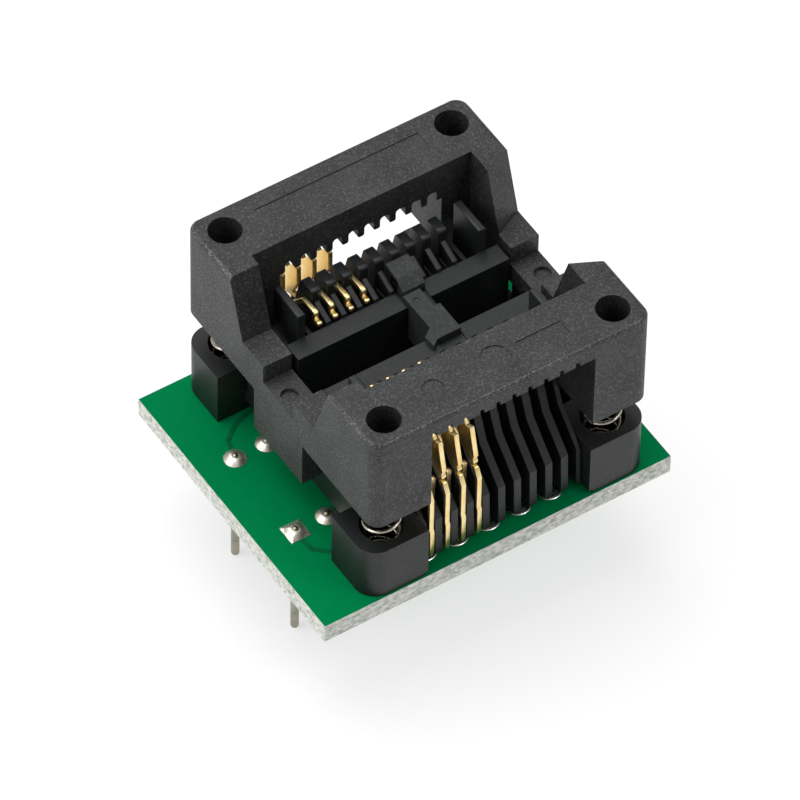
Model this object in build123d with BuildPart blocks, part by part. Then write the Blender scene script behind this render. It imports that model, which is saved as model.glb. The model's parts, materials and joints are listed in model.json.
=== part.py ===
from build123d import *
import os

os.makedirs("parts", exist_ok=True)

# Lengths are in millimetres. The origin is under the middle of the board, level with the pin tips.
# Circuit board with one DIP pattern at its left end
board_length = 28.0
board_thick = 1.6
board_margin = 0.15
pin_reach = 8.5
board_top = pin_reach + board_thick

# Pin field: two rows of four on the standard 2.54 mm grid
pin_pitch = 2.54
row_spacing = 7.62
pins_per_row = 4
pin_edge_gap = 2.76
pin_diameter = 0.5
pin_tail_diameter = 0.6
pin_point = 0.12
pin_rise = 0.85
pin_hole = 0.9

# Plating and solder
pad_diameter = 1.65
pad_thick = 0.05
square_pad = 1.6
solder_rise = 0.5
solder_foot_radius = 0.76
solder_top_radius = 0.38
solder_hollow = 0.12
tail_pad_diameter = 1.9
tail_hole = 0.8
tail_solder_top_radius = 0.35
tail_solder_radius = 0.7
tail_solder_drop = 0.75

# Header strips under the board
header_width = 2.5
header_height = 2.5
header_notch = 0.55
header_under = pin_reach - pad_thick - header_height

# Socket: its middle lies a little right of the middle of the board.
# The contact rows run along X, ten places a side, of which four are fitted.
socket_x = 0.88
contact_pitch = 1.27
places_per_side = 10
fitted_per_side = 4
contact_thick = 0.3

# Moulded base. Its side and end faces are the lines from which the rest of the socket is laid out.
base_length = 22.8
end_x = base_length / 2
base_width = 23.4
side_y = base_width / 2
board_width = base_width + 2 * board_margin
base_lift = 0.5
floor_lift = 1.1
floor_thick = 0.9
floor_lap = 0.6
tower_round = 1.6
tower_height = 4.6
tower_inner_x = 6.5
tower_inner_y = side_y - 4.5
foot_relief = 0.3
spring_x = end_x - 2.5
spring_y = side_y - 2.2
bore_diameter = 3.1
bore_floor = 1.2
end_wall_outer = end_x - 2.2
end_wall_thick = 0.9
catch_low = 4.25
catch_high = 4.85
catch_reach = 0.5
catch_width = 6.4

# Nest: two seat bars with a deep pocket between them
bar_inner = 1.55
bar_outer = side_y - 8.6
bar_half_length = end_wall_outer - 0.7
seat_height = 10.3

# Comb that keeps the contacts apart
rib_thick = 0.58
post_thick = 0.7
toe_thick = 0.4
comb_side_gap = 0.1
web_outer = side_y - 4.8
web_outer_height = 6.4
web_inner_height = 9.4
rib_outer = side_y - 1.02
rib_lean = 0.15
rib_low_height = 3.9
rib_shelf_y = side_y - 3.4
rib_shelf_height = 6.3
rib_back_height = 9.6
post_outer = side_y - 5.5
post_inner = side_y - 7.05
post_height = 12.35
post_fall = 0.2
post_foot_height = 9.4
post_round = 0.3
toe_height = 11.2
toe_low_height = 10.6
comb_wall_inner = 6.95
comb_wall_thick = 0.6
comb_wall_height = 12.6
comb_wall_round = 0.15

# Cover that is pressed down to open the contacts
cover_inset = 0.3
cover_length = base_length - 2 * cover_inset
cover_overhang = 0.1
cover_width = base_width + 2 * cover_overhang
cover_round = 1.0
cover_under = 7.5
cover_top = 15.9
top_edge_round = 0.35
wall_inner = end_x - 2.6
beam_inner = side_y - 4.7
window_half = 6.5
lip_height = 14.3
lip_thick = 0.9
lip_notch_width = 0.34
lip_notch_height = 0.4
lip_notch_depth = 0.5
tooth_drop = 1.8
tooth_height = lip_height - tooth_drop
tooth_slope = 1.5
slot_outer = cover_width / 2 - lip_thick
tooth_outer = slot_outer - tooth_slope
tooth_round = 0.15
slot_width = 0.76
slot_depth = 0.95
slot_round = 0.3
lever_slot_start = beam_inner + 0.3
lever_slot_end = tooth_outer + 0.45
lever_slot_width = 0.5
lever_slot_depth = 1.9
saddle_top_inner = 4.95
saddle_low_inner = 3.32
saddle_flare = 0.5
ledge_height = 10.85
rail_half = 1.88
rail_height = 9.26
rail_dimple_diameter = 1.25
rail_dimple_depth = 0.3
rail_dimple_x = end_x - 1.2
leg_width = 6.05
leg_thick = 1.3
leg_bottom = 3.6
hook_reach = 0.45
hook_top = 4.2
hook_lead = 0.3
cover_hole_x = end_x - 2.3
cover_hole_y = side_y - 1.84
cover_hole_diameter = 2.4
cover_hole_depth = 5.0
spring_pocket = 1.0
spring_pocket_diameter = 3.3

# Shallow marks in the top of the cover: two bare panels and two ejector pin marks
mark_depth = 0.08
panel_x = 0.1
panel_length = 13.2
panel_width = 1.75
panel_y = side_y - 2.2
small_panel_x = 3.75
small_panel_length = 3.6
small_panel_width = 1.3
ejector_y = side_y - 2.4
ejector_places = [(0.1, 1.1), (-4.85, 0.75)]

# Springs
spring_outer = 2.8
spring_wire = 0.34
spring_turns = 5.5
spring_wire_sides = 6

# Contacts, drawn in the plane of their sheet, outward distance and height
strip_width = 0.28
strip_bend = 0.2
stem_y = side_y - 0.92
stem_foot = 0.55
bar_depth = 0.5
tail_width = 0.42
tail_row_outer = side_y - 1.85
tail_row_inner = tail_row_outer - 2 * contact_pitch
post_width = 0.4
stem_post_outer = side_y - 2.7
stem_post_height = 5.9
kink_height = 2.9
kink_step = 0.12
kink_rise = 0.25
elbow_height = 6.1
knee_reach = 0.35
stem_top_height = 6.82
pivot_y = side_y - 1.75
pivot_height = 7.35
pivot_radius = 0.32
lever_low_y = side_y - 1.4
lever_low_height = 7.95
lever_top_y = side_y - 2.0
lever_top_height = 10.4
valley_y = side_y - 2.55
valley_height = 10.15
cam_crest_y = side_y - 3.2
cam_crest_height = 11.0
cam_inner_y = side_y - 3.85
cam_top_height = 11.15
cam_low_height = 9.6
head_knee_y = side_y - 3.3
head_knee_height = 8.3
head_inner_y = side_y - 2.7
head_inner_height = 7.6
arm_width = 0.34
arm_start_rise = 0.25
arm_low_y = side_y - 4.1
arm_low_height = 8.3
arm_crest_y = side_y - 6.45
arm_crest_height = 11.2
brow_y = side_y - 7.98
brow_height = 11.3
heel_y = side_y - 7.85
heel_height = 10.52
nose_y = side_y - 8.38
nose_height = 10.62
arm_bend = 0.2

# Locator that ends the eight-lead seat: a plate with a tab, a block at each end and a tongue
locator_left = 0.3
locator_right = 2.1
locator_step = 1.65
locator_step_y = 0.4
locator_thick = 0.5
locator_sink = 0.15
locator_side_gap = 0.05
locator_tongue = 3.0
locator_front_y = 2.2
locator_notch_x = 0.86
locator_tab = [(0, -1.1), (-0.72, -1.64), (-0.64, -2.64), (-0.13, -2.22)]
locator_dimple_diameter = 0.5
locator_dimple_depth = 0.1
locator_dimple_y = 1.4
groove_width = 0.16
groove_depth = 0.25
groove_y = 2.3
step_inner = 2.4
step_height = 10.9
wing_inner = 3.2
wing_low = 11.28
wing_crest = 11.55
wing_high = 11.75
wing_outer = post_inner - 0.05
wing_left = 0.4
wing_right = 2.2


def above(height):
    """Height above the board turned into height above the pin tips."""
    return board_top + height


comb_half = window_half - comb_side_gap
place_x = [socket_x + (k - (places_per_side - 1) / 2) * contact_pitch for k in range(places_per_side)]
rib_x = [socket_x + (k - places_per_side / 2) * contact_pitch for k in range(places_per_side + 1)]
tail_row = [tail_row_outer if k % 2 == 0 else tail_row_inner for k in range(places_per_side)]
tail_places = [(x, side * y) for x, y in zip(place_x, tail_row) for side in (-1, 1)]
fitted_tails = tail_places[: 2 * fitted_per_side]
pin_mid_x = -board_length / 2 + pin_edge_gap + (pins_per_row - 1) * pin_pitch / 2
pin_x = [pin_mid_x + (k - (pins_per_row - 1) / 2) * pin_pitch for k in range(pins_per_row)]
row_y = row_spacing / 2
pin_places = [(x, -row_y) for x in pin_x] + [(x, row_y) for x in reversed(pin_x)]

# Bare board with its drilled holes
with BuildPart() as circuit_board:
    with BuildSketch(Plane.XY.offset(pin_reach)):
        Rectangle(board_length, board_width)
        with Locations(*pin_places):
            Circle(pin_hole / 2, mode=Mode.SUBTRACT)
        with Locations(*tail_places):
            Circle(tail_hole / 2, mode=Mode.SUBTRACT)
    extrude(amount=board_thick)
circuit_board.part.label = "circuit_board"
export_step(circuit_board.part, "parts/circuit_board.step")

# Pads of the pin field on both faces; the pad of the first pin is square
with BuildPart() as pin_pads:
    with BuildSketch(Plane.XY.offset(board_top), Plane.XY.offset(pin_reach - pad_thick)):
        with Locations(*pin_places[1:]):
            Circle(pad_diameter / 2)
        with Locations(pin_places[0]):
            Rectangle(square_pad, square_pad)
        with Locations(*pin_places):
            Circle(pin_hole / 2, mode=Mode.SUBTRACT)
    extrude(amount=pad_thick)
pin_pads.part.label = "pin_pads"
export_step(pin_pads.part, "parts/pin_pads.step")

# Pads of the socket, in two staggered rows a side
with BuildPart() as socket_pads:
    with BuildSketch(Plane.XY.offset(board_top), Plane.XY.offset(pin_reach - pad_thick)):
        with Locations(*tail_places):
            Circle(tail_pad_diameter / 2)
            Circle(tail_hole / 2, mode=Mode.SUBTRACT)
    extrude(amount=pad_thick)
socket_pads.part.label = "socket_pads"
export_step(socket_pads.part, "parts/socket_pads.step")

# Round header pins: a thick plug end below, and a thinner end that stands through the board
for number, (x, y) in enumerate(pin_places, start=1):
    with BuildPart() as header_pin:
        with BuildSketch(Plane.XY.move(Location((x, y, 0)))):
            Circle(pin_tail_diameter / 2)
        extrude(amount=header_under)
        with BuildSketch(Plane.XY.move(Location((x, y, header_under)))):
            Circle(pin_diameter / 2)
        extrude(amount=board_top + pin_rise - header_under)
        ends = header_pin.edges().filter_by(GeomType.CIRCLE).sort_by(Axis.Z)
        chamfer([ends[0], ends[-1]], length=pin_point)
    header_pin.part.label = f"header_pin_{number}"
    export_step(header_pin.part, f"parts/header_pin_{number}.step")

# Header strips under the board, notched between their cells
for side, name in ((-1, "front"), (1, "back")):
    with BuildPart() as pin_header:
        with BuildSketch(Plane.XY.offset(header_under)):
            with Locations((pin_mid_x, side * row_y)):
                Rectangle(pins_per_row * pin_pitch, header_width)
            with Locations((pin_mid_x, side * row_y)):
                with GridLocations(pin_pitch, header_width, pins_per_row + 1, 2):
                    Rectangle(header_notch, header_notch, rotation=45, mode=Mode.SUBTRACT)
            with Locations(*[(x, side * row_y) for x in pin_x]):
                Circle(pin_diameter / 2, mode=Mode.SUBTRACT)
        extrude(amount=header_height)
    pin_header.part.label = f"pin_header_{name}"
    export_step(pin_header.part, f"parts/pin_header_{name}.step")

# Solder collars that climb the pins on the upper face, hollow like real fillets
with BuildPart() as collar:
    with BuildSketch(Plane.XZ):
        with BuildLine():
            l1 = Polyline(
                (solder_top_radius, solder_rise),
                (pin_diameter / 2, solder_rise),
                (pin_diameter / 2, 0),
                (solder_foot_radius, 0),
            )
            middle = (l1 @ 0 + l1 @ 1) / 2
            ThreePointArc(l1 @ 1, (middle.X - solder_hollow, middle.Y - solder_hollow), l1 @ 0)
        make_face()
    revolve(axis=Axis.Z)
with BuildPart() as pin_solder:
    with Locations(*[(x, y, board_top + pad_thick) for x, y in pin_places]):
        add(collar.part)
pin_solder.part.label = "pin_solder"
export_step(pin_solder.part, "parts/pin_solder.step")

# Solder under the board that holds the tails of the contacts
with BuildPart() as tail_solder:
    with Locations(*[(x, y, pin_reach - pad_thick) for x, y in fitted_tails]):
        Cone(tail_solder_top_radius, tail_solder_radius, tail_solder_drop,
             align=(Align.CENTER, Align.CENTER, Align.MAX))
        Box(contact_thick, tail_width, tail_solder_drop, align=(Align.CENTER, Align.CENTER, Align.MAX),
            mode=Mode.SUBTRACT)
tail_solder.part.label = "tail_solder"
export_step(tail_solder.part, "parts/tail_solder.step")

# Moulded base: floor, four spring towers, seat bars, comb and catches for the cover
with BuildPart() as socket_base:
    with BuildSketch(Plane.XY.offset(above(floor_lift))):
        with Locations((socket_x, 0)):
            Rectangle(2 * end_wall_outer, 2 * web_outer)
            Rectangle(2 * end_wall_outer, 2 * (tower_inner_y + floor_lap))
            Rectangle(2 * comb_half, 2 * (tower_inner_y + floor_lap), mode=Mode.SUBTRACT)
            Rectangle(2 * comb_half, 2 * web_outer)
    extrude(amount=floor_thick)
    with BuildSketch(Plane.XY.offset(board_top)):
        with Locations((socket_x, 0)):
            RectangleRounded(base_length, base_width, tower_round)
            Rectangle(base_length, 2 * tower_inner_y, mode=Mode.SUBTRACT)
            Rectangle(2 * tower_inner_x, base_width, mode=Mode.SUBTRACT)
    extrude(amount=tower_height)
    with BuildSketch(Plane.XY.offset(board_top)):
        with Locations((socket_x, 0)):
            Rectangle(2 * (tower_inner_x + foot_relief), base_width)
    extrude(amount=foot_relief, mode=Mode.SUBTRACT)
    with BuildSketch(Plane.XY.offset(above(tower_height))):
        with Locations((socket_x, 0)):
            with GridLocations(2 * spring_x, 2 * spring_y, 2, 2):
                Circle(bore_diameter / 2)
    extrude(amount=bore_floor - tower_height, mode=Mode.SUBTRACT)
    with BuildSketch(Plane.XY.offset(above(floor_lift))):
        with Locations((socket_x, 0)):
            with GridLocations(0, bar_inner + bar_outer, 1, 2):
                Rectangle(2 * bar_half_length, bar_outer - bar_inner)
    extrude(amount=seat_height - floor_lift)
    with BuildSketch(Plane.XY.offset(above(floor_lift))):
        with Locations((socket_x, 0)):
            with GridLocations(2 * end_wall_outer - end_wall_thick, 0, 2, 1):
                Rectangle(end_wall_thick, 2 * web_outer)
    extrude(amount=catch_high - floor_lift)
    with BuildSketch(Plane.XY.offset(above(catch_low))):
        with Locations((socket_x, 0)):
            Rectangle(2 * (end_wall_outer + catch_reach), catch_width)
            Rectangle(2 * end_wall_outer, catch_width, mode=Mode.SUBTRACT)
    extrude(amount=catch_high - catch_low)
    with BuildSketch(Plane.YZ.offset(socket_x - comb_half)):
        with BuildLine():
            Polyline(
                (bar_outer, above(floor_lift)),
                (web_outer, above(floor_lift)),
                (web_outer, above(web_outer_height)),
                (bar_outer, above(web_inner_height)),
                close=True,
            )
        make_face()
        mirror(about=Plane.YZ)
    extrude(amount=2 * comb_half)
    rib_outline = [
        (bar_outer, above(floor_lift)),
        (web_outer, above(floor_lift)),
        (web_outer, above(base_lift)),
        (rib_outer + rib_lean, above(base_lift)),
        (rib_outer, above(rib_low_height)),
        (rib_shelf_y, above(rib_shelf_height)),
        (web_outer, above(rib_back_height)),
        (bar_outer, above(rib_back_height)),
    ]
    with BuildSketch(*[Plane.YZ.offset(x - rib_thick / 2) for x in rib_x[1:-1]]):
        Polygon(*rib_outline, align=None)
        mirror(about=Plane.YZ)
    extrude(amount=rib_thick)
    end_rib_thick = comb_half - places_per_side * contact_pitch / 2 + rib_thick / 2
    end_rib_x = [socket_x - comb_half, socket_x + comb_half - end_rib_thick]
    with BuildSketch(*[Plane.YZ.offset(x) for x in end_rib_x]):
        Polygon(*rib_outline, align=None)
        mirror(about=Plane.YZ)
    extrude(amount=end_rib_thick)
    with BuildSketch(*[Plane.YZ.offset(x - toe_thick / 2) for x in rib_x[1:-1]]):
        Polygon(
            (bar_outer, above(rib_back_height)),
            (post_inner, above(rib_back_height)),
            (post_inner, above(toe_height)),
            (bar_outer, above(toe_low_height)),
            align=None,
        )
        mirror(about=Plane.YZ)
    extrude(amount=toe_thick)
    with BuildSketch(*[Plane.YZ.offset(x - post_thick / 2) for x in rib_x[1:-1]]):
        Polygon(
            (post_inner, above(post_foot_height)),
            (post_inner, above(post_height)),
            (post_outer, above(post_height - post_fall)),
            (web_outer, above(post_foot_height)),
            align=None,
        )
        mirror(about=Plane.YZ)
    extrude(amount=post_thick)
    along_x = socket_base.edges().filter_by(Axis.X)
    post_tops = along_x.filter_by_position(Axis.Z, above(toe_height + post_round), above(post_height))
    fillet(post_tops, radius=post_round)
    for side in (-1, 1):
        with BuildSketch(Plane.XY.offset(above(floor_lift))):
            with Locations((socket_x + side * (comb_wall_inner + comb_wall_thick / 2), 0)):
                with GridLocations(0, bar_outer + post_outer, 1, 2):
                    Rectangle(comb_wall_thick, post_outer - bar_outer)
        extrude(amount=comb_wall_height - floor_lift)
    fillet(socket_base.faces().sort_by(Axis.Z)[-4:].edges(), radius=comb_wall_round)
    with BuildSketch(Plane.XY.offset(above(seat_height))):
        with Locations((socket_x + (locator_left + locator_right) / 2, 0)):
            Rectangle(locator_right - locator_left + 2 * locator_side_gap, 2 * bar_outer)
    extrude(amount=-locator_sink, mode=Mode.SUBTRACT)
socket_base.part.label = "socket_base"
export_step(socket_base.part, "parts/socket_base.step")


def saddle(distance):
    """Outline of the saddle in an end wall, at a distance out from the inner face."""
    top_y = saddle_top_inner + saddle_flare * distance
    low_y = saddle_low_inner + saddle_flare * distance
    half = [(low_y, ledge_height), (rail_half, ledge_height), (rail_half, rail_height)]
    right = [(top_y, cover_top)] + half
    left = [(-y, height) for y, height in reversed(right)]
    return [(y, above(height)) for y, height in right + left]


# Cover: a sprung frame with a wide opening above the nest and one at the front and back
with BuildPart() as cover:
    with BuildSketch(Plane.XY.offset(above(cover_under))):
        with Locations((socket_x, 0)):
            RectangleRounded(cover_length, cover_width, cover_round)
    extrude(amount=cover_top - cover_under)
    fillet(cover.faces().sort_by(Axis.Z)[-1].edges(), radius=top_edge_round)
    with BuildSketch(Plane.XY.offset(above(cover_under))):
        with Locations((socket_x, 0)):
            Rectangle(2 * wall_inner, 2 * beam_inner)
    extrude(amount=cover_top - cover_under, mode=Mode.SUBTRACT)
    for side in (-1, 1):
        sections = []
        for distance in (0, cover_length / 2 - wall_inner):
            with BuildSketch(Plane.YZ.offset(socket_x + side * (wall_inner + distance))) as section:
                Polygon(*saddle(distance), align=None)
            sections.append(section.sketch)
        loft(sections, ruled=True, mode=Mode.SUBTRACT)
    with BuildSketch(Plane.YZ.offset(socket_x - window_half)):
        with BuildLine():
            Polyline(
                (beam_inner, above(cover_under)),
                (cover_width / 2, above(cover_under)),
                (cover_width / 2, above(lip_height)),
                (slot_outer, above(lip_height)),
                (tooth_outer, above(tooth_height)),
                (beam_inner, above(tooth_height)),
                close=True,
            )
        make_face()
        mirror(about=Plane.YZ)
    extrude(amount=2 * window_half, mode=Mode.SUBTRACT)
    with BuildSketch(Plane.XZ) as scallops:
        with Locations((socket_x, above(cover_under))):
            Rectangle(2 * window_half, tooth_height - cover_under, align=(Align.CENTER, Align.MIN))
        with Locations(*[(x, above(tooth_height)) for x in place_x]):
            Rectangle(slot_width, 2 * slot_depth)
        fillet(scallops.vertices().group_by(Axis.Y)[1], radius=tooth_round)
        fillet(scallops.vertices().group_by(Axis.Y)[-1], radius=slot_round)
    extrude(amount=slot_outer, both=True, mode=Mode.SUBTRACT)
    with BuildSketch(*[Plane.YZ.offset(x - lever_slot_width / 2) for x in place_x]):
        with BuildLine():
            Polyline(
                (lever_slot_start, above(tooth_height)),
                (lever_slot_end, above(tooth_height)),
                (lever_slot_end, above(tooth_height + lever_slot_depth)),
                (lever_slot_start, above(tooth_height + lever_slot_depth)),
                close=True,
            )
        make_face()
        mirror(about=Plane.YZ)
    extrude(amount=lever_slot_width, mode=Mode.SUBTRACT)
    with BuildSketch(Plane.XY.offset(above(lip_height))):
        with Locations((socket_x - contact_pitch / 2, 0)):
            with GridLocations(contact_pitch, cover_width - lip_notch_depth, places_per_side, 2):
                Rectangle(lip_notch_width, lip_notch_depth)
    extrude(amount=lip_notch_height, mode=Mode.SUBTRACT)
    with BuildSketch(Plane.XY.offset(above(cover_top))):
        with Locations((socket_x, 0)):
            with GridLocations(2 * cover_hole_x, 2 * cover_hole_y, 2, 2):
                Circle(cover_hole_diameter / 2)
    extrude(amount=-cover_hole_depth, mode=Mode.SUBTRACT)
    with BuildSketch(Plane.XY.offset(above(cover_under))):
        with Locations((socket_x, 0)):
            with GridLocations(2 * spring_x, 2 * spring_y, 2, 2):
                Circle(spring_pocket_diameter / 2)
    extrude(amount=spring_pocket, mode=Mode.SUBTRACT)
    with BuildSketch(Plane.XY.offset(above(rail_height))):
        with Locations((socket_x, 0)):
            with GridLocations(2 * rail_dimple_x, 0, 2, 1):
                Circle(rail_dimple_diameter / 2)
    extrude(amount=-rail_dimple_depth, mode=Mode.SUBTRACT)
    for side in (-1, 1):
        outer_x = socket_x + side * cover_length / 2
        with BuildSketch(Plane.XZ):
            with BuildLine():
                Polyline(
                    (outer_x, above(cover_under)),
                    (outer_x, above(leg_bottom)),
                    (outer_x - side * (leg_thick + hook_reach - hook_lead), above(leg_bottom)),
                    (outer_x - side * (leg_thick + hook_reach), above(leg_bottom + hook_lead)),
                    (outer_x - side * (leg_thick + hook_reach), above(hook_top)),
                    (outer_x - side * leg_thick, above(hook_top)),
                    (outer_x - side * leg_thick, above(cover_under)),
                    close=True,
                )
            make_face()
        extrude(amount=leg_width / 2, both=True)
    with BuildSketch(Plane.XY.offset(above(cover_top))):
        with Locations((socket_x + panel_x, panel_y)):
            Rectangle(panel_length, panel_width)
        with Locations((socket_x + small_panel_x, -panel_y)):
            Rectangle(small_panel_length, small_panel_width)
        for mark_x, mark_radius in ejector_places:
            with Locations((socket_x + mark_x, -ejector_y)):
                Circle(mark_radius)
    extrude(amount=-mark_depth, mode=Mode.SUBTRACT)
cover.part.label = "cover"
export_step(cover.part, "parts/cover.step")

# Four compression springs, from the floor of a bore to the roof of a pocket in the cover
spring_low = above(bore_floor)
spring_high = above(cover_under + spring_pocket)
spring_radius = (spring_outer - spring_wire) / 2
spring_rise = spring_high - spring_low - spring_wire
spring_number = 0
for row in (-1, 1):
    for end in (-1, 1):
        spring_number += 1
        seat = (socket_x + end * spring_x, row * spring_y, spring_low + spring_wire / 2)
        with BuildPart() as spring:
            with BuildLine():
                coil = Helix(spring_rise / spring_turns, spring_rise, spring_radius, center=seat)
            with BuildSketch(Plane(coil @ 0, z_dir=coil % 0)):
                RegularPolygon(spring_wire / 2, spring_wire_sides)
            sweep(path=coil, is_frenet=True)
        spring.part.label = f"spring_{spring_number}"
        export_step(spring.part, f"parts/spring_{spring_number}.step")


def contact(side, k):
    """Fixed stem and moving arm of one contact, cut from the same thin sheet."""
    flat = Plane.YZ.offset(place_x[k] - contact_thick / 2)
    tail_y = tail_row[k]
    with BuildPart() as stem:
        with BuildSketch(flat):
            with BuildLine() as strip:
                FilletPolyline(
                    (side * stem_y, above(stem_foot)),
                    (side * stem_y, above(kink_height)),
                    (side * (stem_y - kink_step), above(kink_height + kink_rise)),
                    (side * (stem_y - kink_step), above(elbow_height)),
                    (side * (pivot_y + knee_reach), above(stem_top_height)),
                    (side * pivot_y, above(stem_top_height)),
                    radius=strip_bend,
                )
            trace(line_width=strip_width)
            with BuildLine():
                Polyline(
                    (side * (stem_y + strip_width / 2), above(stem_foot)),
                    (side * (stem_y + strip_width / 2), above(stem_foot + bar_depth)),
                    (side * stem_post_outer, above(stem_foot + bar_depth)),
                    (side * stem_post_outer, above(stem_post_height)),
                    (side * (stem_post_outer - post_width), above(stem_post_height)),
                    (side * (stem_post_outer - post_width), above(stem_foot + bar_depth)),
                    (side * web_outer, above(stem_foot + bar_depth)),
                    (side * web_outer, above(stem_foot)),
                    close=True,
                )
            make_face()
            with BuildLine():
                Polyline(
                    (side * (tail_y - tail_width / 2), above(stem_foot + bar_depth / 2)),
                    (side * (tail_y + tail_width / 2), above(stem_foot + bar_depth / 2)),
                    (side * (tail_y + tail_width / 2), pin_reach - pad_thick - tail_solder_drop),
                    (side * (tail_y - tail_width / 2), pin_reach - pad_thick - tail_solder_drop),
                    close=True,
                )
            make_face()
        extrude(amount=contact_thick)
    with BuildPart() as arm:
        with BuildSketch(flat):
            with Locations((side * pivot_y, above(pivot_height))):
                Circle(pivot_radius)
            with BuildLine():
                Polyline(
                    (side * pivot_y, above(pivot_height - pivot_radius)),
                    (side * lever_low_y, above(lever_low_height)),
                    (side * lever_top_y, above(lever_top_height)),
                    (side * valley_y, above(valley_height)),
                    (side * cam_crest_y, above(cam_crest_height)),
                    (side * cam_inner_y, above(cam_top_height)),
                    (side * cam_inner_y, above(cam_low_height)),
                    (side * head_knee_y, above(head_knee_height)),
                    (side * head_inner_y, above(head_inner_height)),
                    close=True,
                )
            make_face()
            with BuildLine() as reach:
                FilletPolyline(
                    (side * (pivot_y - pivot_radius), above(pivot_height + arm_start_rise)),
                    (side * arm_low_y, above(arm_low_height)),
                    (side * arm_crest_y, above(arm_crest_height)),
                    (side * brow_y, above(brow_height)),
                    (side * heel_y, above(heel_height)),
                    (side * nose_y, above(nose_height)),
                    radius=arm_bend,
                )
            trace(line_width=arm_width)
            with Locations((side * nose_y, above(nose_height))):
                Circle(arm_width / 2)
        extrude(amount=contact_thick)
    return stem.part, arm.part


for side, row in ((-1, "front"), (1, "back")):
    for k in range(fitted_per_side):
        stem_part, arm_part = contact(side, k)
        stem_part.label = f"contact_stem_{row}_{k + 1}"
        export_step(stem_part, f"parts/contact_stem_{row}_{k + 1}.step")
        arm_part.label = f"contact_arm_{row}_{k + 1}"
        export_step(arm_part, f"parts/contact_arm_{row}_{k + 1}.step")

# Locator that closes the seat after four pairs of contacts: a plate on the bars with a slanted
# block at its back end, and below it a sunk foot and a tongue that plugs into the pocket
locator_middle = socket_x + (locator_left + locator_right) / 2
locator_width = locator_right - locator_left
with BuildPart() as locator:
    with BuildSketch(Plane.XY.offset(above(seat_height))):
        with BuildLine():
            Polyline(
                (socket_x + locator_left, step_inner),
                *[(socket_x + locator_left + x, y) for x, y in locator_tab],
                (socket_x + locator_notch_x, -locator_front_y),
                (socket_x + locator_right, -locator_front_y),
                (socket_x + locator_right, locator_step_y),
                (socket_x + locator_step, locator_step_y),
                (socket_x + locator_step, step_inner),
                close=True,
            )
        make_face()
    extrude(amount=locator_thick)
    with BuildSketch(Plane.YZ.offset(socket_x + wing_left)):
        Polygon(
            (step_inner, above(seat_height)),
            (bar_outer - locator_side_gap, above(seat_height)),
            (bar_outer - locator_side_gap, above(wing_low)),
            (wing_outer, above(wing_low)),
            (wing_outer, above(wing_high)),
            (wing_inner, above(wing_crest)),
            (step_inner, above(step_height)),
            align=None,
        )
    extrude(amount=wing_right - wing_left)
    with BuildSketch(Plane.XY.offset(above(seat_height))):
        with Locations((locator_middle, 0)):
            Rectangle(locator_width, 2 * locator_front_y)
    extrude(amount=-locator_sink)
    with BuildSketch(Plane.XY.offset(above(seat_height - locator_sink))):
        with Locations((locator_middle, 0)):
            Rectangle(locator_width, 2 * (bar_inner - locator_side_gap))
    extrude(amount=-locator_tongue)
    with BuildSketch(Plane.XY.offset(above(seat_height + locator_thick))):
        with Locations((socket_x + locator_notch_x, locator_dimple_y)):
            Circle(locator_dimple_diameter / 2)
    extrude(amount=-locator_dimple_depth, mode=Mode.SUBTRACT)
    with BuildSketch(Plane.XY.offset(above(seat_height + locator_thick))):
        with Locations((locator_middle, groove_y)):
            Rectangle(2 * locator_width, groove_width)
    extrude(amount=-groove_depth, mode=Mode.SUBTRACT)
locator.part.label = "locator"
export_step(locator.part, "parts/locator.step")
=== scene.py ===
# %% [markdown]
# An open-top test socket stands on a small green board with two rows of pins.
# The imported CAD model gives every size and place, so this lesson starts by loading it.
# All the looks are then built around it: moulded plastic, thin gold contacts, wire springs,
# solder and a printed board. Blender works in metres, and the object is only 28 mm long,
# so a value named MM turns millimetres into metres wherever a small size is written.

# %% Load the frame and keep the size of the CAD model
import json
import math

import bmesh
import bpy
from mathutils import Matrix, Vector


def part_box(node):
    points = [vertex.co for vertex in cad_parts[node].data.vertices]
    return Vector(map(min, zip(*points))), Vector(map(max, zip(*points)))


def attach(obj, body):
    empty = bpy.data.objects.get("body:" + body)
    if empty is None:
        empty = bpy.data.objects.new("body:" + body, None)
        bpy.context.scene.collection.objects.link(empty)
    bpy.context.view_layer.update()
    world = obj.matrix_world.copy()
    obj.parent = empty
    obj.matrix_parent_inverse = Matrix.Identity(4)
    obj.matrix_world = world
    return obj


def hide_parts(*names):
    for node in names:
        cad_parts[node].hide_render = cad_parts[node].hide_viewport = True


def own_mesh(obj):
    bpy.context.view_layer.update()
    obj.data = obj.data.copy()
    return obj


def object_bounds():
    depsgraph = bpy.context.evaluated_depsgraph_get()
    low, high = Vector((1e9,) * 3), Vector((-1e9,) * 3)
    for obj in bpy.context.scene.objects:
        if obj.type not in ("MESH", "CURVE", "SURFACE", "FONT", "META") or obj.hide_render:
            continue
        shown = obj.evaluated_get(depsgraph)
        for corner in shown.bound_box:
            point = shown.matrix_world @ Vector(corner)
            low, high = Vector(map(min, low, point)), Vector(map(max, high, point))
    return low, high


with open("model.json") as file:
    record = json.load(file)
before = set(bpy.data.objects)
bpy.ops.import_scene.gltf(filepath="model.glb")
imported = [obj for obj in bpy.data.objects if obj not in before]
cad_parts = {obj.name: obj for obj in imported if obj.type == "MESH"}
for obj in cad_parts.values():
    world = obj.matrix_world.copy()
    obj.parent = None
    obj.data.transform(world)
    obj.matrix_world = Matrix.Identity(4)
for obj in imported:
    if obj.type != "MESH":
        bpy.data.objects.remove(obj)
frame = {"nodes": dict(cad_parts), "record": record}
MM = 0.001
cad_box = [list(map(float, corner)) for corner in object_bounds()]
print("CAD box in mm:", [[round(value / MM, 2) for value in corner] for corner in cad_box])

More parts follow.
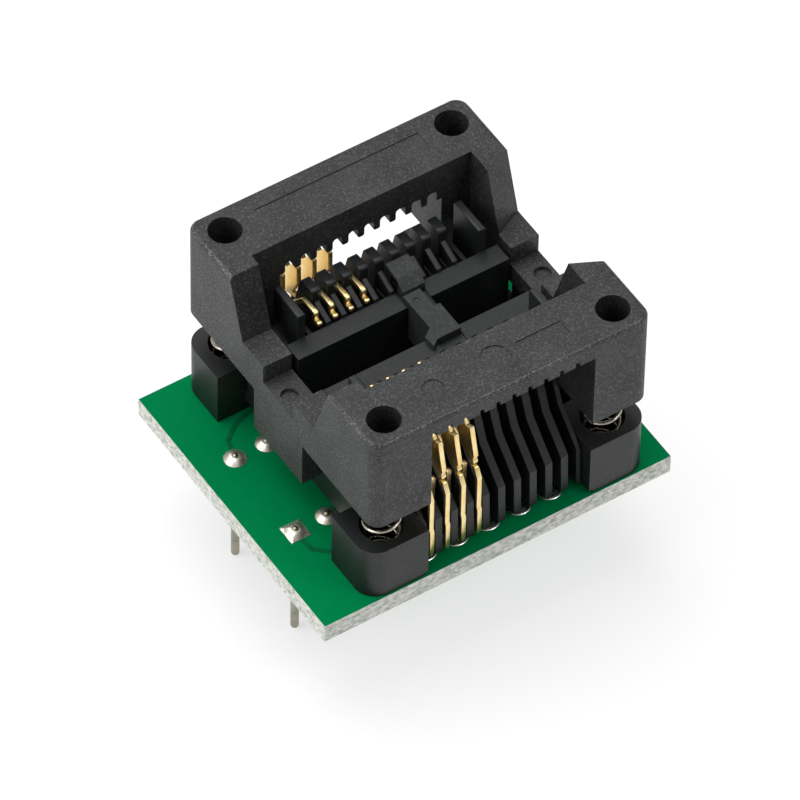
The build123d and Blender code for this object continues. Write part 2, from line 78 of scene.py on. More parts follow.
# %% [markdown]
# Most pieces are placed by the box of a CAD node. These few helpers read such a box as
# plain vectors, so that the later cells can say "the top of the board" instead of a number.

# %% Read places from the frame


def low(node):
    """Lowest corner of a node's box."""
    return Vector(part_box(node)[0])


def high(node):
    """Highest corner of a node's box."""
    return Vector(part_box(node)[1])


def middle(node):
    """Middle of a node's box."""
    return (low(node) + high(node)) / 2


node_names = sorted(frame["nodes"])
header_pins = [name for name in node_names if name.startswith("header_pin_")]
spring_names = [name for name in node_names if name.startswith("spring_")]
stem_names = [name for name in node_names if name.startswith("contact_stem_")]
arm_names = [name for name in node_names if name.startswith("contact_arm_")]
board_top = high("circuit_board").z
board_under = low("circuit_board").z
node_body = {node: body for body, nodes in frame["record"]["behaviour"]["bodies"].items() for node in nodes}
node_slot = {part["node"]: part["material_slot"] for part in frame["record"]["subparts"]}
print(len(node_names), "nodes, board from", round(board_under / MM, 2), "to", round(board_top / MM, 2), "mm")

# %% [markdown]
# Every material is a tree of nodes, and a tree takes many lines when each node is written out.
# These helpers make a node, set its plain inputs and join it, so that a material further down
# reads like a recipe. An input can be a number, a colour or another node's output.

# %% Small helpers for shader nodes


def link(tree, source, target):
    """Join one socket to another."""
    tree.links.new(source, target)


def new_material(name):
    """An empty node material with its Principled BSDF."""
    material = bpy.data.materials.new(name)
    material.use_nodes = True
    tree = material.node_tree
    return material, tree, tree.nodes["Principled BSDF"]


def add_node(tree, kind, **values):
    """A shader node, with its plain inputs set by name."""
    node = tree.nodes.new(kind)
    for key, value in values.items():
        node.inputs[key.replace("_", " ")].default_value = value
    return node


def object_coordinates(tree):
    """Coordinates in metres that stay with the piece."""
    return tree.nodes.new("ShaderNodeTexCoord").outputs["Object"]


def noise(tree, place, scale, detail, roughness):
    """A noise value at a place in space."""
    node = add_node(tree, "ShaderNodeTexNoise", Scale=scale, Detail=detail, Roughness=roughness)
    link(tree, place, node.inputs["Vector"])
    return node.outputs["Fac"]


def fed(tree, socket, value):
    """Give a socket a number or colour, or join it to an output."""
    if isinstance(value, bpy.types.NodeSocket):
        link(tree, value, socket)
    else:
        socket.default_value = value


def calculate(tree, operation, first, second=0.0, clamp=False):
    """The result of a Math node."""
    node = tree.nodes.new("ShaderNodeMath")
    node.operation = operation
    node.use_clamp = clamp
    fed(tree, node.inputs[0], first)
    fed(tree, node.inputs[1], second)
    return node.outputs[0]


def stretched(tree, value, to_min, to_max, from_min=0.0, from_max=1.0):
    """A value moved from one range to another."""
    node = add_node(tree, "ShaderNodeMapRange", From_Min=from_min, From_Max=from_max,
                    To_Min=to_min, To_Max=to_max)
    link(tree, value, node.inputs["Value"])
    return node.outputs["Result"]


def blended(tree, share, first, second):
    """A colour between two others."""
    node = tree.nodes.new("ShaderNodeMix")
    node.data_type = "RGBA"
    fed(tree, node.inputs["Factor"], share)
    fed(tree, node.inputs["A"], first)
    fed(tree, node.inputs["B"], second)
    return node.outputs["Result"]


def ramped(tree, value, first_place, first_tone, last_place, last_tone):
    """A colour from a ramp of two tones, flat outside of their places."""
    node = tree.nodes.new("ShaderNodeValToRGB")
    first, last = node.color_ramp.elements
    first.position, last.position = first_place, last_place
    first.color, last.color = (*first_tone, 1.0), (*last_tone, 1.0)
    link(tree, value, node.inputs["Fac"])
    return node.outputs["Color"]


def roughened(tree, shader, height, strength, distance):
    """Let a height tilt the normal of the shader."""
    node = add_node(tree, "ShaderNodeBump", Strength=strength, Distance=distance)
    link(tree, height, node.inputs["Height"])
    link(tree, node.outputs["Normal"], shader.inputs["Normal"])


print("shader helpers ready")

# %% [markdown]
# A close look at a moulded part shows a fine eroded grain: tiny pits and lighter specks. It
# comes from the spark-cut surface of the mould. The cover, the base and the header strips all
# have it, so it is a shader node group with named inputs. The group puts out a colour, a
# roughness and a height, and each material joins those to its own Principled BSDF.

# %% Eroded grain as a node group
GRAIN_INPUTS = (("Vector", "NodeSocketVector"), ("Grain Size", "NodeSocketFloat"),
                ("Base Tone", "NodeSocketColor"), ("Speck Tone", "NodeSocketColor"))
GRAIN_OUTPUTS = (("Color", "NodeSocketColor"), ("Roughness", "NodeSocketFloat"),
                 ("Height", "NodeSocketFloat"))


def grain_group():
    """Fine eroded grain: specks of a second colour and a pitted height."""
    group = bpy.data.node_groups.new("eroded_grain", "ShaderNodeTree")
    for way, sockets in (("INPUT", GRAIN_INPUTS), ("OUTPUT", GRAIN_OUTPUTS)):
        for name, kind in sockets:
            group.interface.new_socket(name, in_out=way, socket_type=kind)
    entry = group.nodes.new("NodeGroupInput").outputs
    leave = group.nodes.new("NodeGroupOutput").inputs
    count = calculate(group, "DIVIDE", 1.0, entry["Grain Size"])
    fine = add_node(group, "ShaderNodeTexNoise", Detail=3.0, Roughness=0.6)
    link(group, entry["Vector"], fine.inputs["Vector"])
    link(group, count, fine.inputs["Scale"])
    broad = noise(group, entry["Vector"], 350.0, 3.0, 0.55)
    specks = stretched(group, fine.outputs["Fac"], 0.0, 1.0, 0.5, 0.72)
    clouds = stretched(group, broad, 0.0, 0.22, 0.3, 0.7)
    share = calculate(group, "ADD", specks, clouds, clamp=True)
    link(group, blended(group, share, entry["Base Tone"], entry["Speck Tone"]), leave["Color"])
    link(group, stretched(group, share, 0.62, 0.44), leave["Roughness"])
    link(group, fine.outputs["Fac"], leave["Height"])
    return group


grain = grain_group()
print("shader group ready:", grain.name, "with", len(grain.nodes), "nodes")

# %% [markdown]
# Black plastic is almost only gloss: its own colour is close to black, and what the eye sees is
# the pale table and sky in it. So the tones are very low, and the dullness scales the roughness
# of the grain, where a value below one makes a moulding a little more polished.

# %% Black moulded plastic


def moulded_plastic(name, base_tone, speck_tone, grain_size, bump, dullness=1.0):
    """Matte moulded plastic with an eroded grain; a low dullness makes it shine."""
    material, tree, shader = new_material(name)
    effect = tree.nodes.new("ShaderNodeGroup")
    effect.node_tree = grain
    effect.inputs["Grain Size"].default_value = grain_size
    effect.inputs["Base Tone"].default_value = (*base_tone, 1.0)
    effect.inputs["Speck Tone"].default_value = (*speck_tone, 1.0)
    link(tree, object_coordinates(tree), effect.inputs["Vector"])
    link(tree, effect.outputs["Color"], shader.inputs["Base Color"])
    link(tree, calculate(tree, "MULTIPLY", effect.outputs["Roughness"], dullness), shader.inputs["Roughness"])
    roughened(tree, shader, effect.outputs["Height"], bump, 0.03 * MM)
    shader.inputs["Specular IOR Level"].default_value = 0.45
    return material


cover_plastic = moulded_plastic("cover_plastic", (0.006, 0.0065, 0.007), (0.062, 0.064, 0.067),
                                0.15 * MM, 0.75, 0.9)
# Lighter tones than the cover's paint a highlight on the cover's top edges; the lower dullness also makes
# them glossier.
edge_highlight_plastic = moulded_plastic("painted_edge_highlight", (0.012, 0.012, 0.013), (0.16, 0.16, 0.165),
                               0.14 * MM, 0.8, 0.6)
# The base sits deep inside the cover, so its tones are darker than the cover's: painted shade for the pocket
# and the comb.
shaded_base_plastic = moulded_plastic("shaded_base_plastic", (0.003, 0.004, 0.0045), (0.014, 0.016, 0.017),
                               0.16 * MM, 0.4, 0.8)
locator_plastic = moulded_plastic("locator_plastic", (0.012, 0.014, 0.014), (0.028, 0.031, 0.030),
                                  0.2 * MM, 0.2)
header_plastic = moulded_plastic("header_plastic", (0.012, 0.012, 0.013), (0.025, 0.025, 0.026),
                                 0.2 * MM, 0.2)
plastics = (cover_plastic, edge_highlight_plastic, shaded_base_plastic, locator_plastic, header_plastic)
print("plastics:", [material.name for material in plastics])

# %% [markdown]
# Gold, tin, solder and wire are plain metallic surfaces, told apart by colour and gloss. Plating
# is never perfectly even, so a slow noise drifts both the tone and the roughness. Solder and tin
# froze from a liquid, so they also get a shallow bump from the same noise.

# %% Plated, drawn and soldered metal


def metal(name, tone, second_tone, roughness, spread, scale, bump=0.0):
    """Metal whose colour and roughness drift slowly over the surface."""
    material, tree, shader = new_material(name)
    shader.inputs["Metallic"].default_value = 1.0
    drift = noise(tree, object_coordinates(tree), scale, 4.0, 0.6)
    link(tree, ramped(tree, drift, 0.35, tone, 0.65, second_tone), shader.inputs["Base Color"])
    link(tree, stretched(tree, drift, roughness - spread, roughness + spread), shader.inputs["Roughness"])
    if bump:
        roughened(tree, shader, drift, bump, 0.03 * MM)
    return material


gold = metal("gold_plating", (0.93, 0.68, 0.28), (0.99, 0.84, 0.47), 0.34, 0.06, 1500.0)
tin = metal("tinned_copper", (0.80, 0.79, 0.76), (0.88, 0.87, 0.84), 0.28, 0.08, 2500.0, 0.3)
solder = metal("solder", (0.80, 0.73, 0.60), (0.98, 0.94, 0.83), 0.40, 0.1, 1800.0, 0.4)
wire = metal("spring_wire", (0.46, 0.42, 0.34), (0.66, 0.62, 0.53), 0.26, 0.08, 1200.0, 0.1)
# The pins' tones are far darker than plated metal: painted shade, because the pins stand in the board's
# shadow.
shaded_pin_metal = metal("pin_plating", (0.26, 0.25, 0.19), (0.38, 0.36, 0.28), 0.32, 0.08, 1500.0, 0.1)
print("metals:", [material.name for material in (gold, tin, solder, wire, shaded_pin_metal)])

# %% [markdown]
# The board is glass fibre in resin, covered with green mask on its two faces only. Its sawn
# edges stay bare, so one material finds them by the distance from the middle of the board in
# Object coordinates: beyond the edge line the colour is pale fibre, elsewhere it is mask. The
# copper under the mask gets a darker green of its own.

# %% Green mask and pale sawn edges
EDGE_SKIN = 0.012 * MM


def board_material():
    """Glossy green mask on the faces, rough pale fibre on the sawn edges."""
    material, tree, shader = new_material("masked_board")
    place = object_coordinates(tree)
    axes = tree.nodes.new("ShaderNodeSeparateXYZ")
    link(tree, place, axes.inputs["Vector"])
    half = (high("circuit_board") - low("circuit_board")) / 2
    centre = middle("circuit_board")
    past = []
    for axis in (0, 1):
        away = calculate(tree, "SUBTRACT", axes.outputs[axis], centre[axis])
        reach = calculate(tree, "ABSOLUTE", away)
        past.append(calculate(tree, "GREATER_THAN", reach, half[axis] - EDGE_SKIN))
    edge = calculate(tree, "MAXIMUM", *past)
    weave = noise(tree, place, 900.0, 5.0, 0.7)
    mask_tone = blended(tree, weave, (0.0, 0.160, 0.048, 1.0), (0.0, 0.190, 0.061, 1.0))
    layers = add_node(tree, "ShaderNodeMapping", Scale=(0.8, 0.8, 1.4))
    link(tree, place, layers.inputs["Vector"])
    fibre = noise(tree, layers.outputs["Vector"], 2600.0, 6.0, 0.75)
    fibre_tone = ramped(tree, fibre, 0.36, (0.30, 0.33, 0.29), 0.58, (0.68, 0.69, 0.64))
    link(tree, blended(tree, edge, mask_tone, fibre_tone), shader.inputs["Base Color"])
    link(tree, stretched(tree, edge, 0.4, 0.85), shader.inputs["Roughness"])
    shader.inputs["Specular IOR Level"].default_value = 0.01
    roughened(tree, shader, calculate(tree, "MULTIPLY", fibre, edge), 0.8, 0.08 * MM)
    return material


def copper_under_mask():
    """Green mask over copper, darker than the rest of the board."""
    material, tree, shader = new_material("masked_copper")
    shader.inputs["Specular IOR Level"].default_value = 0.1
    shader.inputs["Roughness"].default_value = 0.4
    drift = noise(tree, object_coordinates(tree), 900.0, 5.0, 0.7)
    tone = blended(tree, drift, (0.0, 0.085, 0.028, 1.0), (0.0, 0.120, 0.042, 1.0))
    link(tree, tone, shader.inputs["Base Color"])
    return material


masked_board = board_material()
masked_copper = copper_under_mask()
print("board materials:", masked_board.name, masked_copper.name)

# %% [markdown]
# Every new piece ends in the same few steps: the bmesh becomes a mesh, the piece gets its
# material, rides on a body and stands for its CAD nodes. One helper does it all.

# %% Finish a piece


def finished(name, mesh_bm, material, body, slot, *nodes):
    """Turn a bmesh into a piece that rides on a body and stands for the named nodes."""
    mesh = bpy.data.meshes.new(name)
    mesh_bm.normal_update()
    mesh_bm.to_mesh(mesh)
    mesh_bm.free()
    piece = bpy.data.objects.new(name, mesh)
    bpy.context.scene.collection.objects.link(piece)
    mesh.materials.append(material)
    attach(piece, body)
    if nodes:
        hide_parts(*nodes)
    return piece


def smooth_by_angle(piece, degrees):
    """Shade smoothly over gentle turns and keep real edges sharp."""
    piece.data.shade_smooth()
    piece.data.set_sharp_from_angle(angle=math.radians(degrees))


print("piece helpers ready")

# %% [markdown]
# A moulded part has no knife edges: a small round catches the light along every edge. The CAD
# solids are sharp there, so a copy of the solid is merged into clean faces and given a narrow
# bevel in bmesh. The copy then stands for its node, and rides on the same body. A Weighted
# Normal modifier keeps the large faces flat in the light, so that only the rounds shade over.

# %% Copies of CAD solids with softened edges


def softened(node, name, material, width, least_turn=25.0, sharp_above=None, wider=1.0):
    """Copy a node's mesh, merge it and bevel its edges.

    Edges of shallow marks above a height stay sharp, and a contact can be made wider along X.
    """
    bm = bmesh.new()
    bm.from_mesh(frame["nodes"][node].data)
    bmesh.ops.remove_doubles(bm, verts=bm.verts[:], dist=0.001 * MM)
    bmesh.ops.dissolve_limit(bm, angle_limit=math.radians(1.0), verts=bm.verts[:], edges=bm.edges[:])
    turn = math.radians(least_turn)
    edges = [edge for edge in bm.edges if len(edge.link_faces) == 2 and edge.calc_face_angle(0.0) > turn]
    if sharp_above is not None:
        bottoms = {face: min(vert.co.z for vert in face.verts) for face in bm.faces}
        edges = [edge for edge in edges if min(bottoms[face] for face in edge.link_faces) < sharp_above]
    bmesh.ops.scale(bm, vec=(wider, 1.0, 1.0), space=Matrix.Translation(-middle(node)), verts=bm.verts[:])
    bmesh.ops.bevel(bm, geom=edges, offset=width, offset_type="OFFSET", segments=2, profile=0.5,
                    affect="EDGES", clamp_overlap=True, material=-1)
    piece = finished(name, bm, material, node_body[node], node_slot[node], node)
    smooth_by_angle(piece, 35.0)
    flat_light = piece.modifiers.new("flat_light", "WEIGHTED_NORMAL")
    flat_light.keep_sharp = True
    print(name, "has", len(piece.data.polygons), "faces")
    return piece


print("softening helper ready")

# %% [markdown]
# The narrow bevel faces near the top of the cover, those that look neither up nor sideways, get
# a second material of the same piece, with lighter tones and less roughness: a painted highlight
# along the top edges. The recessed panels and ejector marks are too shallow for a round.

# %% Cover with a painted highlight on its top edges
MARK_DEPTH = 0.1 * MM
HIGHLIGHT_DEPTH = 0.4 * MM

cover_top = high("cover").z
cover = softened("cover", "cover_moulding", cover_plastic, 0.09 * MM, sharp_above=cover_top - MARK_DEPTH)
cover.data.materials.append(edge_highlight_plastic)
for face in cover.data.polygons:
    if face.center.z > cover_top - HIGHLIGHT_DEPTH and 0.25 < face.normal.z < 0.93:
        face.material_index = 1
print("painted highlight edge faces:", sum(face.material_index == 1 for face in cover.data.polygons))

# %% [markdown]
# The socket's base, the seat locator and the two header strips are harder edged mouldings, so
# their bevels are narrower than the cover's.

# %% Base, locator and header strips
softened("socket_base", "base_moulding", shaded_base_plastic, 0.05 * MM)
softened("locator", "seat_locator", locator_plastic, 0.06 * MM)
for side in ("front", "back"):
    softened(f"pin_header_{side}", f"header_strip_{side}", header_plastic, 0.08 * MM)

# %% [markdown]
# The contacts are stamped from thin sheet, so their flat sides are bright and their cut edges
# slightly rounded. They get the same treatment with a much narrower bevel.

# %% Gold contacts
CONTACT_WIDENING = 1.2

for node in stem_names + arm_names:
    name = node.replace("contact_", "gold_")
    softened(node, name, gold, 0.03 * MM, least_turn=40.0, wider=CONTACT_WIDENING)

# %% [markdown]
# A coil spring is a small circle that turns about an axis and climbs as it turns. The spin
# operator does both at once: its dvec is the climb at each step. The last turn at each end
# climbs by only the wire's own thickness, because real springs close their ends.

# %% Coil springs
WIRE_SIZE = 0.28 * MM
FREE_TURNS = 4.6
CLOSED_TURNS = 1.1
STEPS_PER_TURN = 28
WIRE_SIDES = 10


def coil_spring(node, name):
    """A compression spring with closed ends, in the space of its CAD node."""
    bottom, top, centre = low(node), high(node), middle(node)
    radius = (top.x - bottom.x) / 2 - WIRE_SIZE / 2
    closed_rise = WIRE_SIZE * 1.02 * CLOSED_TURNS
    open_rise = top.z - bottom.z - WIRE_SIZE - 2 * closed_rise
    bm = bmesh.new()
    ring = bmesh.ops.create_circle(bm, cap_ends=False, segments=WIRE_SIDES, radius=WIRE_SIZE / 2)["verts"]
    bmesh.ops.rotate(bm, verts=ring, cent=(0, 0, 0), matrix=Matrix.Rotation(math.pi / 2, 3, "X"))
    bmesh.ops.translate(bm, verts=ring, vec=(centre.x + radius, centre.y, bottom.z + WIRE_SIZE / 2))
    front_edges = bm.edges[:]
    for turns, rise in ((CLOSED_TURNS, closed_rise), (FREE_TURNS, open_rise), (CLOSED_TURNS, closed_rise)):
        steps = round(turns * STEPS_PER_TURN)
        result = bmesh.ops.spin(bm, geom=front_edges, cent=centre, axis=(0, 0, 1), dvec=(0, 0, rise / steps),
                                angle=math.tau * turns, steps=steps, use_merge=False, use_duplicate=False)
        front_edges = [item for item in result["geom_last"] if isinstance(item, bmesh.types.BMEdge)]
    bmesh.ops.remove_doubles(bm, verts=bm.verts[:], dist=0.0005 * MM)
    bmesh.ops.holes_fill(bm, edges=[edge for edge in bm.edges if edge.is_boundary], sides=WIRE_SIDES)
    bmesh.ops.recalc_face_normals(bm, faces=bm.faces[:])
    piece = finished(name, bm, wire, node_body[node], node_slot[node], node)
    smooth_by_angle(piece, 50.0)
    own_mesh(piece)
    return piece


for node in spring_names:
    coil_spring(node, node.replace("spring", "coil_spring"))

# %% [markdown]
# Pins, solder and pads are all round, so each is a profile that is spun once about its own
# axis, as on a lathe. The profile is a short chain of edges, and one full spin makes the surface.

# %% Turned shapes


def turned(points, centre, steps=32):
    """Spin a profile of (radius, height) points about a vertical axis."""
    bm = bmesh.new()
    verts = [bm.verts.new((centre.x + radius, centre.y, height)) for radius, height in points]
    edges = [bm.edges.new(pair) for pair in zip(verts, verts[1:])]
    bmesh.ops.spin(bm, geom=verts + edges, cent=centre, axis=(0, 0, 1), angle=math.tau, steps=steps,
                   use_merge=True, use_duplicate=False)
    bmesh.ops.remove_doubles(bm, verts=bm.verts[:], dist=0.001 * MM)
    bmesh.ops.recalc_face_normals(bm, faces=bm.faces[:])
    return bm


def join(parts):
    """Put several bmeshes in one."""
    whole = bmesh.new()
    for part in parts:
        mesh = bpy.data.meshes.new("part")
        part.to_mesh(mesh)
        part.free()
        whole.from_mesh(mesh)
        bpy.data.meshes.remove(mesh)
    return whole


print("lathe ready")

# %% [markdown]
# Solder climbs a pin in a hollow curve and ends in a small dome around its tip. The curve rises
# slowly at the rim of the pad and steeply at the pin, as a power of the distance gives it. The
# pad of the first pin is square, so its solder starts from a square sheet whose points are lifted
# by the same curve, and whose rim is then folded down and closed below.

# %% Solder of the pins
PAD_TOP = board_top + 0.05 * MM
DOME_RISE = 0.3 * MM
DOME_STEPS = 8
PIN_RADIUS = 0.25 * MM
RIM_RADIUS = 0.79 * MM
SQUARE_HALF = 0.76 * MM


def dome_height(share):
    """Height of the solder from the rim of the pad, share 0, to the pin, share 1."""
    return 1.0 - (1.0 - share) ** 1.6


def round_dome(centre):
    """Hollow collar of solder on a round pad."""
    inner = 0.8 * PIN_RADIUS
    outline = [(inner, PAD_TOP), (RIM_RADIUS, PAD_TOP)]
    for step in range(1, DOME_STEPS + 1):
        share = step / DOME_STEPS
        radius = RIM_RADIUS + (PIN_RADIUS + 0.03 * MM - RIM_RADIUS) * share
        outline.append((radius, PAD_TOP + DOME_RISE * dome_height(share)))
    outline += [(inner, PAD_TOP + DOME_RISE), (inner, PAD_TOP)]
    return turned(outline, centre)


def square_dome(centre):
    """The same collar on the square pad, from a lifted sheet."""
    bm = bmesh.new()
    bmesh.ops.create_grid(bm, x_segments=20, y_segments=20, size=SQUARE_HALF)
    for vert in bm.verts:
        square_reach = max(abs(vert.co.x), abs(vert.co.y)) / SQUARE_HALF
        round_reach = min(1.0, vert.co.xy.length / SQUARE_HALF)
        share = 1.0 - (square_reach + round_reach) / 2
        vert.co.z = DOME_RISE * dome_height(min(1.0, share * 1.7))
    rim_edges = [edge for edge in bm.edges if edge.is_boundary]
    folded = bmesh.ops.extrude_edge_only(bm, edges=rim_edges)["geom"]
    for vert in [item for item in folded if isinstance(item, bmesh.types.BMVert)]:
        vert.co.z = 0.0
    bmesh.ops.holes_fill(bm, edges=[edge for edge in bm.edges if edge.is_boundary], sides=0)
    bmesh.ops.recalc_face_normals(bm, faces=bm.faces[:])
    bmesh.ops.translate(bm, verts=bm.verts[:], vec=(centre.x, centre.y, PAD_TOP))
    return bm


domes = [round_dome(middle(node)) for node in header_pins[1:]] + [square_dome(middle(header_pins[0]))]
dome_piece = finished("pin_solder_domes", join(domes), solder, "base", "solder", "pin_solder")
smooth_by_angle(dome_piece, 60.0)
print(len(domes), "domes of solder made")

# %% [markdown]
# A machined header pin has a thicker plug end below its strip and a thin end that stands in the
# board. Both ends are rounded, so the profile closes on the axis at the floor and at the tip.

# %% Round pins
plug_radius = (high(header_pins[0]).x - low(header_pins[0]).x) / 2
step_height = low("pin_header_front").z
tip_height = PAD_TOP + 0.46 * MM
for node in header_pins:
    floor = low(node).z
    outline = [(0, floor), (plug_radius * 0.5, floor), (plug_radius * 0.85, floor + 0.06 * MM),
               (plug_radius, floor + 0.18 * MM), (plug_radius, step_height), (PIN_RADIUS, step_height),
               (PIN_RADIUS, tip_height - 0.22 * MM), (PIN_RADIUS * 0.9, tip_height - 0.1 * MM),
               (PIN_RADIUS * 0.62, tip_height - 0.02 * MM), (0, tip_height)]
    pin = finished(node.replace("header_pin", "round_pin"), turned(outline, middle(node), steps=24),
                   shaded_pin_metal, "base", node_slot[node], node)
    smooth_by_angle(pin, 50.0)
print(len(header_pins), "pins made")

# %% [markdown]
# Two copper tracks run under the green mask from the corner pads to the socket. The mask only
# follows them, so they show as low green ridges. Each stretch is a cube squeezed to a bar, with
# a disc at every bend.

# %% Tracks under the mask
TRACK_WIDTH = 0.32 * MM
TRACK_HEIGHT = 0.03 * MM
TRACKS = (((-11.24, -4.4), (-11.14, -5.7), (-10.2, -6.55), (-7.6, -7.05)),
          ((-11.1, 4.4), (-10.76, 5.49), (-9.64, 6.36), (-7.6, 7.05)))


def track(points):
    """Low ridge along a chain of points on the board."""
    bm = bmesh.new()
    bar_size = Vector((0.0, TRACK_WIDTH, 2 * TRACK_HEIGHT, 1.0))
    for start, stop in zip(points, points[1:]):
        run = stop - start
        bar_size.x = run.length
        centre = Matrix.Translation(((start.x + stop.x) / 2, (start.y + stop.y) / 2, board_top))
        turn = Matrix.Rotation(math.atan2(run.y, run.x), 4, "Z")
        bmesh.ops.create_cube(bm, size=1.0, matrix=centre @ turn @ Matrix.Diagonal(bar_size))
    for point in points:
        centre = Matrix.Translation((point.x, point.y, board_top - 0.004 * MM))
        bmesh.ops.create_cone(bm, cap_ends=True, segments=20, radius1=TRACK_WIDTH / 2,
                              radius2=TRACK_WIDTH / 2, depth=2 * TRACK_HEIGHT, matrix=centre)
    return bm


ridges = [track([Vector(point) * MM for point in points]) for points in TRACKS]
finished("masked_tracks", join(ridges), masked_copper, "base", "solder_mask")
print(len(TRACKS), "tracks under the mask")

# %% [markdown]
# The board has places for ten contacts a side, in two rows that take turns, and each place is a
# tinned ring around a hole on both faces. Solder and tin pull into a low round at the rim, so
# the ring is a turned profile and not a flat washer.

# %% Tinned pads of the socket
PLACES_A_SIDE = 10
CONTACT_PITCH = 1.27 * MM
PAD_ROWS = (9.85 * MM, 7.31 * MM)
PAD_HOLE = 0.4 * MM
PAD_RADIUS = high("socket_pads").y - PAD_ROWS[0]


def pad_ring(centre, height, way):
    """Tinned ring on the upper face, way 1, or on the lower one, way -1."""
    outline = [(PAD_HOLE, height), (PAD_HOLE, height + way * 0.03 * MM),
               (PAD_RADIUS - 0.14 * MM, height + way * 0.05 * MM),
               (PAD_RADIUS - 0.04 * MM, height + way * 0.04 * MM), (PAD_RADIUS, height)]
    return turned(outline, centre, steps=28)


first_place = middle("contact_stem_front_1").x
pad_rings = []
for place_number in range(PLACES_A_SIDE):
    row = PAD_ROWS[place_number % 2]
    for y in (row, -row):
        centre = Vector((first_place + place_number * CONTACT_PITCH, y, 0.0))
        pad_rings += [pad_ring(centre, board_top, 1.0), pad_ring(centre, board_under, -1.0)]
pad_piece = finished("tinned_socket_pads", join(pad_rings), tin, "base", "tinned_copper", "socket_pads")
smooth_by_angle(pad_piece, 70.0)
print(len(pad_rings), "pad rings turned")

# %% [markdown]
# The board, the pads of the pins and the solder under the board already have the right shape,
# so they stay as CAD nodes. Their meshes aren't touched, only their material slots are filled.

# %% Finishes of the nodes that keep their CAD shape
for node, material in (("circuit_board", masked_board), ("pin_pads", tin), ("tail_solder", solder)):
    thing = frame["nodes"][node]
    thing.data.materials.clear()
    thing.data.materials.append(material)
    print(node, "has the finish", material.name)

# %% [markdown]
# The object stands on a white table, a large plane just under the pins. Part of its white is a
# plain glow that only the camera and glossy surfaces see, by way of the Light Path node. So the
# paper stays white and the black plastic shows it at grazing angles, but it adds no light.

# %% White table
TABLE_SIZE = 1.6
GLOW_SHARE = 0.62


def stage_plane(name, size, height):
    """A square floor at a height."""
    bm = bmesh.new()
    bmesh.ops.create_grid(bm, x_segments=1, y_segments=1, size=size / 2)
    bmesh.ops.translate(bm, verts=bm.verts[:], vec=(0, 0, height))
    mesh = bpy.data.meshes.new(name)
    bm.to_mesh(mesh)
    bm.free()
    plane = bpy.data.objects.new(name, mesh)
    bpy.context.scene.collection.objects.link(plane)
    return plane


def paper_material():
    """White paper that keeps its shadow and glows a little for the camera and for gloss."""
    material, tree, shader = new_material("white_table")
    shader.inputs["Base Color"].default_value = (0.9, 0.9, 0.9, 1.0)
    shader.inputs["Roughness"].default_value = 0.8
    glow = add_node(tree, "ShaderNodeEmission", Strength=1.04)
    rays = tree.nodes.new("ShaderNodeLightPath").outputs
    seen = calculate(tree, "MAXIMUM", rays["Is Camera Ray"], rays["Is Glossy Ray"])
    mix = tree.nodes.new("ShaderNodeMixShader")
    link(tree, calculate(tree, "MULTIPLY", seen, GLOW_SHARE), mix.inputs["Fac"])
    link(tree, shader.outputs[0], mix.inputs[1])
    link(tree, glow.outputs[0], mix.inputs[2])
    link(tree, mix.outputs[0], tree.nodes["Material Output"].inputs["Surface"])
    return material


table = stage_plane("table", TABLE_SIZE, -0.05 * MM)
table.data.materials.append(paper_material())
print("table", TABLE_SIZE, "m wide")

# %% [markdown]
# The sky is a plain soft light from all sides. It is full white for the camera only, and much
# dimmer for everything else, so the white background does not wash out the object.

# %% Sky
SKY_STRENGTH = 0.45

world = bpy.data.worlds.new("studio")
bpy.context.scene.world = world
world.use_nodes = True
sky_tree = world.node_tree
sky_tree.nodes.clear()
sky_out = sky_tree.nodes.new("ShaderNodeOutputWorld")
sky_light = add_node(sky_tree, "ShaderNodeBackground", Color=(1.0, 1.0, 1.0, 1.0), Strength=SKY_STRENGTH)
sky_seen = add_node(sky_tree, "ShaderNodeBackground", Color=(1.0, 1.0, 1.0, 1.0), Strength=1.0)
sky_rays = sky_tree.nodes.new("ShaderNodeLightPath")
sky_choice = sky_tree.nodes.new("ShaderNodeMixShader")
link(sky_tree, sky_rays.outputs["Is Camera Ray"], sky_choice.inputs["Fac"])
link(sky_tree, sky_light.outputs[0], sky_choice.inputs[1])
link(sky_tree, sky_seen.outputs[0], sky_choice.inputs[2])
link(sky_tree, sky_choice.outputs[0], sky_out.inputs["Surface"])
print("sky strength", SKY_STRENGTH)

# %% [markdown]
# Three soft boxes shape the object: a large one overhead and a little behind, which lays a dim
# sheen on the top faces, a small one in front that picks out the edges, and one at the left.
# Each is placed from the middle of the object and turned to face it.

# %% Lamps


def area_lamp(name, offset, size, power):
    """A square soft lamp that faces the middle of the object."""
    data = bpy.data.lights.new(name, "AREA")
    data.shape = "SQUARE"
    data.size = size
    data.energy = power
    lamp = bpy.data.objects.new(name, data)
    bpy.context.scene.collection.objects.link(lamp)
    lamp.location = heart + Vector(offset)
    lamp.rotation_euler = (-Vector(offset)).to_track_quat("-Z", "Y").to_euler()
    return lamp


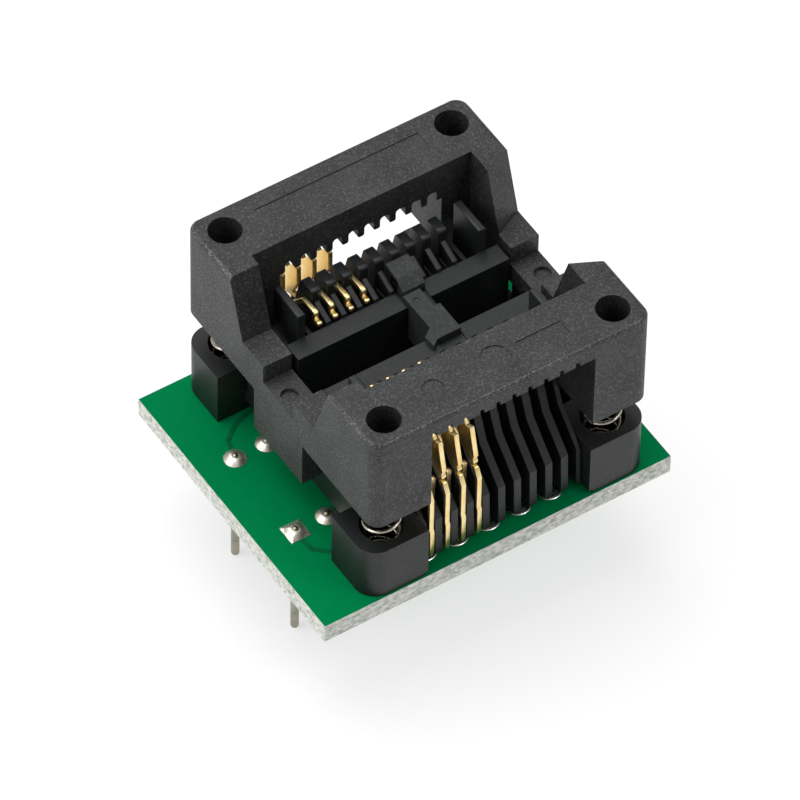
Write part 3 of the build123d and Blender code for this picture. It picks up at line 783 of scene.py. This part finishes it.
heart = (Vector(cad_box[0]) + Vector(cad_box[1])) / 2
lamps = [area_lamp("overhead_box", (-0.05, 0.14, 0.42), 0.40, 1.7),
         area_lamp("edge_light", (0.16, -0.24, 0.35), 0.12, 0.35),
         area_lamp("left_window", (-0.30, 0.05, 0.16), 0.25, 0.5)]
print("lamps:", [lamp.name for lamp in lamps])

# %% [markdown]
# The camera was fitted to the photograph by the pin pitch, the board's corners and the cover's
# holes: it looks down by about 50 degrees and from 34 degrees left of straight on, from 0.62 m.
# At that distance the lens is long, so the socket shows very little perspective.

# %% Camera
CAMERA_AZIMUTH = math.radians(-33.78)
CAMERA_ELEVATION = math.radians(49.64)
CAMERA_ROLL = math.radians(1.14)
CAMERA_DISTANCE = 0.6225
AIM_POINT = Vector((-1.24, 0.0, 15.1)) * MM
SIDE_STEP = 0.701 * MM
UP_STEP = -0.848 * MM
PIXELS_PER_METRE = 14736.0
IMAGE_WIDTH = 800.0
SENSOR = 36.0

back = Vector((math.sin(CAMERA_AZIMUTH) * math.cos(CAMERA_ELEVATION),
               -math.cos(CAMERA_AZIMUTH) * math.cos(CAMERA_ELEVATION), math.sin(CAMERA_ELEVATION)))
level = Vector((math.cos(CAMERA_AZIMUTH), math.sin(CAMERA_AZIMUTH), 0.0))
upward = back.cross(level)
right = level * math.cos(CAMERA_ROLL) + upward * math.sin(CAMERA_ROLL)
up = upward * math.cos(CAMERA_ROLL) - level * math.sin(CAMERA_ROLL)
camera_data = bpy.data.cameras.new("photo_view")
camera_data.sensor_width = SENSOR
camera_data.lens = PIXELS_PER_METRE * CAMERA_DISTANCE / IMAGE_WIDTH * SENSOR
camera_data.clip_start = 0.01
camera = bpy.data.objects.new("photo_view", camera_data)
bpy.context.scene.collection.objects.link(camera)
camera_place = AIM_POINT + back * CAMERA_DISTANCE + right * SIDE_STEP + up * UP_STEP
camera_turn = Matrix((right, up, back)).transposed()
camera.matrix_world = Matrix.Translation(camera_place) @ camera_turn.to_4x4()
bpy.context.scene.camera = camera
bpy.context.scene.view_settings.view_transform = "Standard"
print("camera lens", round(camera_data.lens, 1), "mm")
